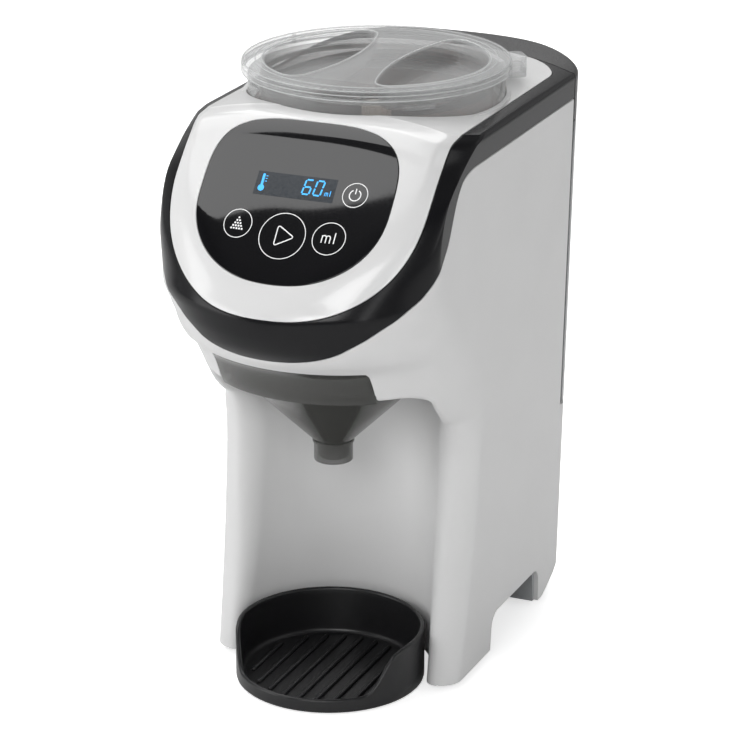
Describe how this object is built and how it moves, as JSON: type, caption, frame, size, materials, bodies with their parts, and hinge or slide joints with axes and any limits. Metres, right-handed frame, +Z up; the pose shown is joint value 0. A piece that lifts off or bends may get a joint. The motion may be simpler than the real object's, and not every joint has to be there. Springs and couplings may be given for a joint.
{
  "type": "baby formula maker",
  "caption": "Countertop baby formula maker: lidded powder hopper with dosing wheel, slanted touch panel, sliding funnel over a bay with a drip tray, lift-off water tank behind.",
  "frame": {"origin": "middle of the bounding box in plan, at the counter", "axes": "+Z up, the bay and the touch panel face -Y, +X is to the right for someone facing the front"},
  "size_m": [0.144, 0.244, 0.3],
  "materials": {
    "side_shell": "satin light grey",
    "band": "satin black",
    "white_cover": "gloss white",
    "control_glass": "polished black",
    "display": "lit blue digits",
    "circuit_board": "green board",
    "grey_moulding": "moulded",
    "black_moulding": "moulded",
    "white_moulding": "moulded",
    "rubber": "matte",
    "steel": "brushed",
    "bush": "bearing plastic",
    "motor": "zinc plated",
    "gear": "moulded",
    "heater": "cast",
    "hose": "silicone",
    "clear_hopper": "clear plastic",
    "wheel": "salmon orange",
    "post": "ribbed pale plastic",
    "clear_lid": "clear plastic",
    "seal": "silicone",
    "smoke_funnel": "smoked plastic",
    "tray": "satin black",
    "smoke_tank": "smoked clear plastic",
    "tank_lid": "satin black"
  },
  "bodies": {
    "machine": {"casing": "side_shell", "trim_band": "band", "top_cover": "white_cover", "control_glass": "control_glass", "display_module": "display", "key_board": "circuit_board", "bay_rails": "grey_moulding", "inner_frame": "grey_moulding", "base_plate": "grey_moulding", "rubber_feet": "rubber", "base_screws": "steel", "rear_panel": "side_shell", "power_inlet": "black_moulding", "power_board": "circuit_board", "hopper_well": "white_moulding", "well_bush": "bush", "powder_chute": "white_moulding", "gear_motor": "motor", "motor_screws": "steel", "shaft_bush": "bush", "water_pump": "black_moulding", "heater": "heater", "dock_cup": "grey_moulding", "dock_seal": "rubber", "inlet_hose": "hose", "pump_hose": "hose", "outlet_hose": "hose", "water_nozzle": "black_moulding"},
    "drive": {"drive_gear": "gear", "drive_shaft": "steel"},
    "pinion": {"motor_pinion": "gear"},
    "hopper_body": {"hopper": "clear_hopper", "powder_guard": "white_moulding"},
    "wheels": {"dosing_wheel": "wheel", "stirring_wheel": "wheel", "centre_post": "post"},
    "lid": {"hopper_lid": "clear_lid", "lid_seal": "seal"},
    "tank": {"water_tank": "smoke_tank", "tank_outlet": "black_moulding", "valve_spring": "steel"},
    "valve": {"tank_valve": "white_moulding"},
    "tank_cover": {"tank_lid": "tank_lid"},
    "funnel_drawer": {"funnel": "smoke_funnel"},
    "tray": {"drip_tray": "tray"}
  },
  "joints": [
    {"name": "drive_spin", "type": "hinge", "parent": "machine", "child": "drive", "pos_m": [0, 0.0125, 0.206], "axis": [0, 0, 1], "continuous": true},
    {"name": "pinion_spin", "type": "hinge", "parent": "machine", "child": "pinion", "pos_m": [0, 0.0425, 0.206], "axis": [0, 0, 1], "continuous": true},
    {"name": "hopper_lift", "type": "slide", "parent": "machine", "child": "hopper_body", "axis": [0, 0, 1], "range_m": [0, 0.09]},
    {"name": "wheel_spin", "type": "hinge", "parent": "hopper_body", "child": "wheels", "pos_m": [0, 0.0125, 0.24], "axis": [0, 0, 1], "continuous": true},
    {"name": "lid_lift", "type": "slide", "parent": "hopper_body", "child": "lid", "axis": [0, 0, 1], "range_m": [0, 0.045]},
    {"name": "tank_lift", "type": "slide", "parent": "machine", "child": "tank", "axis": [0, 0, 1], "range_m": [0, 0.03]},
    {"name": "valve_slide", "type": "slide", "parent": "tank", "child": "valve", "axis": [0, 0, 1], "range_m": [0, 0.003], "stiffness_N_per_m": 200, "springref_m": -0.002, "deforming": ["valve_spring"]},
    {"name": "tank_lid_lift", "type": "slide", "parent": "tank", "child": "tank_cover", "axis": [0, 0, 1], "range_m": [0, 0.025]},
    {"name": "funnel_slide", "type": "slide", "parent": "machine", "child": "funnel_drawer", "axis": [0, -1, 0], "range_m": [0, 0.09]},
    {"name": "tray_slide", "type": "slide", "parent": "machine", "child": "tray", "axis": [0, -1, 0], "range_m": [0, 0.06]}
  ],
  "couplings": [
    {"joint": "pinion_spin", "follows": "drive_spin", "ratio": -4},
    {"joint": "wheel_spin", "follows": "drive_spin", "ratio": 1}
  ]
}
